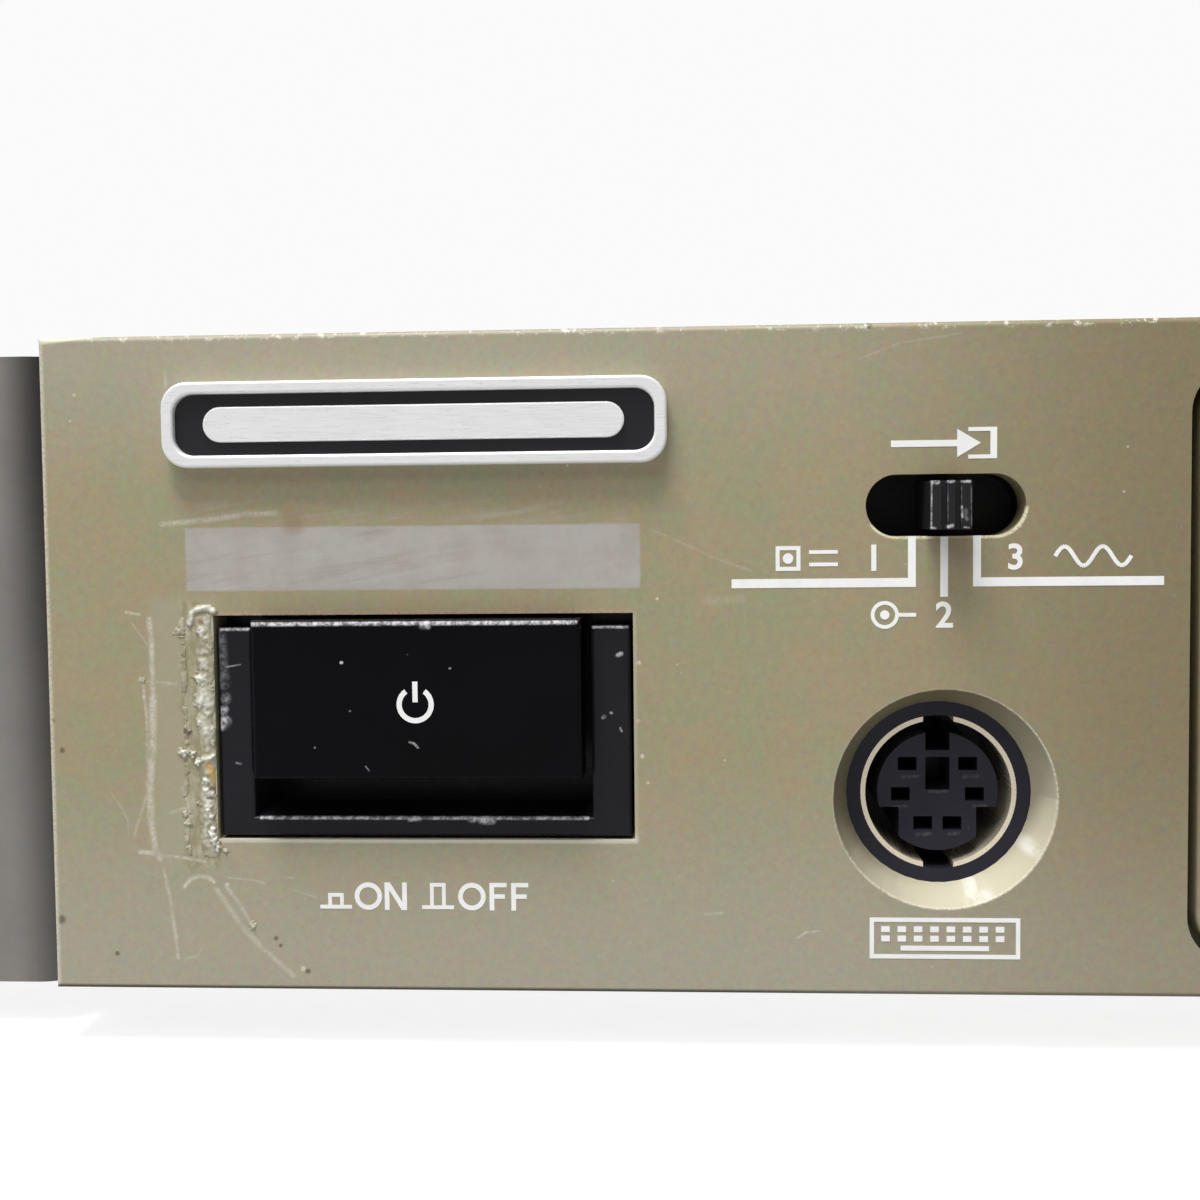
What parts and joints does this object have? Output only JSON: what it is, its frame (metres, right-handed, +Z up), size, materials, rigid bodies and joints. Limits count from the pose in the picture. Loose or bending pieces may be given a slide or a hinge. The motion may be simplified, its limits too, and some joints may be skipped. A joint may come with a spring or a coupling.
{
  "type": "minidisc recorder",
  "caption": "Rack-mount minidisc recorder with a front disc slot, display window, push power switch, input selector, keyboard socket, transport keys, jog dial and level knobs.",
  "frame": {"origin": "on the floor that the feet stand on, under the middle of the whole recorder", "axes": "+X to the right along the front panel, +Y from the front panel to the rear, +Z up; the front faces -Y"},
  "size_m": [0.4826, 0.3014, 0.0475],
  "materials": {
    "panel_paint": "satin khaki-grey paint, scuffed",
    "case_paint": "fine matt dark grey paint",
    "plated_steel": "bright zinc-plated steel",
    "ear_steel": "smooth grey paint",
    "screw_steel": "black-finished steel",
    "black_plastic": "fine-textured black plastic",
    "dark_plastic": "dark grey plastic",
    "key_plastic": "charcoal plastic",
    "knob_plastic": "black plastic, fluted side",
    "window_plastic": "smoky see-through acrylic",
    "display_glass": "dark display glass",
    "badge_bright": "satin silver",
    "badge_dark": "dark enamel, blank",
    "circuit_green": "green solder mask with parts fused to it",
    "mechanism_plastic": "natural acetal",
    "rod_steel": "ground steel",
    "lens_carrier": "die-cast zinc",
    "transformer_steel": "varnished laminations",
    "socket_metal": "nickel plate",
    "shield_metal": "tin-plated spring steel",
    "damper_rubber": "soft rubber"
  },
  "bodies": {
    "case": {"ac_inlet": "black_plastic", "analog_jacks": "socket_metal", "chassis_base": "plated_steel", "cover_screws": "screw_steel", "deck_bezel": "panel_paint", "digital_jacks": "socket_metal", "display_module": "display_glass", "display_window": "window_plastic", "ear_screws": "screw_steel", "feet": "damper_rubber", "front_board": "circuit_green", "front_panel": "panel_paint", "guide_rods": "rod_steel", "input_switch_body": "black_plastic", "keyboard_jack": "black_plastic", "keyboard_jack_shield": "shield_metal", "main_board": "circuit_green", "mechanism_dampers": "damper_rubber", "mechanism_frame": "plated_steel", "mechanism_motors": "plated_steel", "nameplate_inlay": "badge_dark", "nameplate_rim": "badge_bright", "phones_jack": "black_plastic", "power_bezel": "black_plastic", "power_board": "circuit_green", "power_switch": "dark_plastic", "power_transformer": "transformer_steel", "rack_ear_left": "ear_steel", "rack_ear_right": "ear_steel", "rear_panel": "case_paint", "remote_ports": "socket_metal", "rotary_controls": "plated_steel", "top_cover": "case_paint"},
    "power_button": {"power_button": "black_plastic"},
    "input_switch_knob": {"input_switch_knob": "black_plastic"},
    "slot_door": {"slot_door": "dark_plastic"},
    "jog_collar": {"jog_collar": "mechanism_plastic"},
    "jog_dial": {"jog_dial": "knob_plastic", "jog_shaft": "rod_steel"},
    "record_level_ring": {"record_level_ring": "knob_plastic"},
    "record_level_knob": {"record_level_knob": "knob_plastic"},
    "phones_level_knob": {"phones_level_knob": "knob_plastic"},
    "cartridge_holder": {"cartridge_holder": "plated_steel"},
    "loading_slider": {"loading_slider": "mechanism_plastic"},
    "loading_gear": {"loading_gear": "mechanism_plastic"},
    "disc_turntable": {"disc_turntable": "mechanism_plastic"},
    "pickup_sled": {"pickup_sled": "lens_carrier", "magnetic_head": "plated_steel"},
    "lead_screw": {"lead_screw": "rod_steel"},
    "rewind_button": {"rewind_button": "key_plastic"},
    "forward_button": {"forward_button": "key_plastic"},
    "stop_button": {"stop_button": "key_plastic"},
    "pause_button": {"pause_button": "key_plastic"},
    "play_button": {"play_button": "key_plastic"},
    "record_button": {"record_button": "key_plastic"},
    "display_button": {"display_button": "key_plastic"},
    "time_button": {"time_button": "key_plastic"},
    "repeat_button": {"repeat_button": "key_plastic"},
    "menu_button": {"menu_button": "key_plastic"},
    "eject_button": {"eject_button": "key_plastic"}
  },
  "joints": [
    {"name": "power_press", "type": "slide", "parent": "case", "child": "power_button", "axis": [0, 1, 0], "range_m": [0, 0.003], "stiffness_N_per_m": 300, "springref_m": -0.0005},
    {"name": "input_select", "type": "slide", "parent": "case", "child": "input_switch_knob", "axis": [1, 0, 0], "range_m": [-0.0021, 0.0021]},
    {"name": "slot_door_swing", "type": "hinge", "parent": "case", "child": "slot_door", "pos_m": [-0.0148, -0.13655, 0.0375], "axis": [1, 0, 0], "range_deg": [0, 80], "stiffness_Nm_per_rad": 0.002, "springref_deg": -8.59},
    {"name": "jog_push", "type": "slide", "parent": "case", "child": "jog_collar", "axis": [0, 1, 0], "range_m": [0, 0.0005], "stiffness_N_per_m": 2500, "springref_m": -0.0005},
    {"name": "jog_spin", "type": "hinge", "parent": "jog_collar", "child": "jog_dial", "pos_m": [0.142, -0.13875, 0.02565], "axis": [0, 1, 0], "continuous": true},
    {"name": "record_right_level", "type": "hinge", "parent": "case", "child": "record_level_ring", "pos_m": [0.17, -0.13875, 0.02565], "axis": [0, 1, 0], "range_deg": [-150, 150]},
    {"name": "record_left_level", "type": "hinge", "parent": "case", "child": "record_level_knob", "pos_m": [0.17, -0.13875, 0.02565], "axis": [0, 1, 0], "range_deg": [-150, 150]},
    {"name": "phones_level", "type": "hinge", "parent": "case", "child": "phones_level_knob", "pos_m": [0.195, -0.13875, 0.0354], "axis": [0, 1, 0], "range_deg": [-150, 150]},
    {"name": "holder_lower", "type": "slide", "parent": "case", "child": "cartridge_holder", "axis": [0, 0, -1], "range_m": [0, 0.004]},
    {"name": "slider_shift", "type": "slide", "parent": "case", "child": "loading_slider", "axis": [0, 1, 0], "range_m": [0, 0.012]},
    {"name": "gear_turn", "type": "hinge", "parent": "case", "child": "loading_gear", "pos_m": [0.0247, -0.06075, 0.0209], "axis": [1, 0, 0], "range_deg": [-196, 0]},
    {"name": "disc_spin", "type": "hinge", "parent": "case", "child": "disc_turntable", "pos_m": [-0.0148, -0.08975, 0.0145], "axis": [0, 0, 1], "continuous": true},
    {"name": "sled_shift", "type": "slide", "parent": "case", "child": "pickup_sled", "axis": [1, 0, 0], "range_m": [-0.0055, 0.009]},
    {"name": "lead_screw_turn", "type": "hinge", "parent": "case", "child": "lead_screw", "pos_m": [-0.0148, -0.11225, 0.0191], "axis": [1, 0, 0], "range_deg": [-670, 1090]},
    {"name": "rewind_press", "type": "slide", "parent": "case", "child": "rewind_button", "axis": [0, 1, 0], "range_m": [0, 0.0008], "stiffness_N_per_m": 800, "springref_m": -0.0005},
    {"name": "forward_press", "type": "slide", "parent": "case", "child": "forward_button", "axis": [0, 1, 0], "range_m": [0, 0.0008], "stiffness_N_per_m": 800, "springref_m": -0.0005},
    {"name": "stop_press", "type": "slide", "parent": "case", "child": "stop_button", "axis": [0, 1, 0], "range_m": [0, 0.0008], "stiffness_N_per_m": 800, "springref_m": -0.0005},
    {"name": "pause_press", "type": "slide", "parent": "case", "child": "pause_button", "axis": [0, 1, 0], "range_m": [0, 0.0008], "stiffness_N_per_m": 800, "springref_m": -0.0005},
    {"name": "play_press", "type": "slide", "parent": "case", "child": "play_button", "axis": [0, 1, 0], "range_m": [0, 0.0008], "stiffness_N_per_m": 800, "springref_m": -0.0005},
    {"name": "record_press", "type": "slide", "parent": "case", "child": "record_button", "axis": [0, 1, 0], "range_m": [0, 0.0008], "stiffness_N_per_m": 800, "springref_m": -0.0005},
    {"name": "display_press", "type": "slide", "parent": "case", "child": "display_button", "axis": [0, 1, 0], "range_m": [0, 0.0008], "stiffness_N_per_m": 800, "springref_m": -0.0005},
    {"name": "time_press", "type": "slide", "parent": "case", "child": "time_button", "axis": [0, 1, 0], "range_m": [0, 0.0008], "stiffness_N_per_m": 800, "springref_m": -0.0005},
    {"name": "repeat_press", "type": "slide", "parent": "case", "child": "repeat_button", "axis": [0, 1, 0], "range_m": [0, 0.0008], "stiffness_N_per_m": 800, "springref_m": -0.0005},
    {"name": "menu_press", "type": "slide", "parent": "case", "child": "menu_button", "axis": [0, 1, 0], "range_m": [0, 0.0008], "stiffness_N_per_m": 800, "springref_m": -0.0005},
    {"name": "eject_press", "type": "slide", "parent": "case", "child": "eject_button", "axis": [0, 1, 0], "range_m": [0, 0.0008], "stiffness_N_per_m": 800, "springref_m": -0.0005}
  ],
  "couplings": [
    {"joint": "slider_shift", "follows": "holder_lower", "ratio": 3},
    {"joint": "gear_turn", "follows": "holder_lower", "rad_per_m": -833.33},
    {"joint": "lead_screw_turn", "follows": "sled_shift", "rad_per_m": 2094.4}
  ]
}
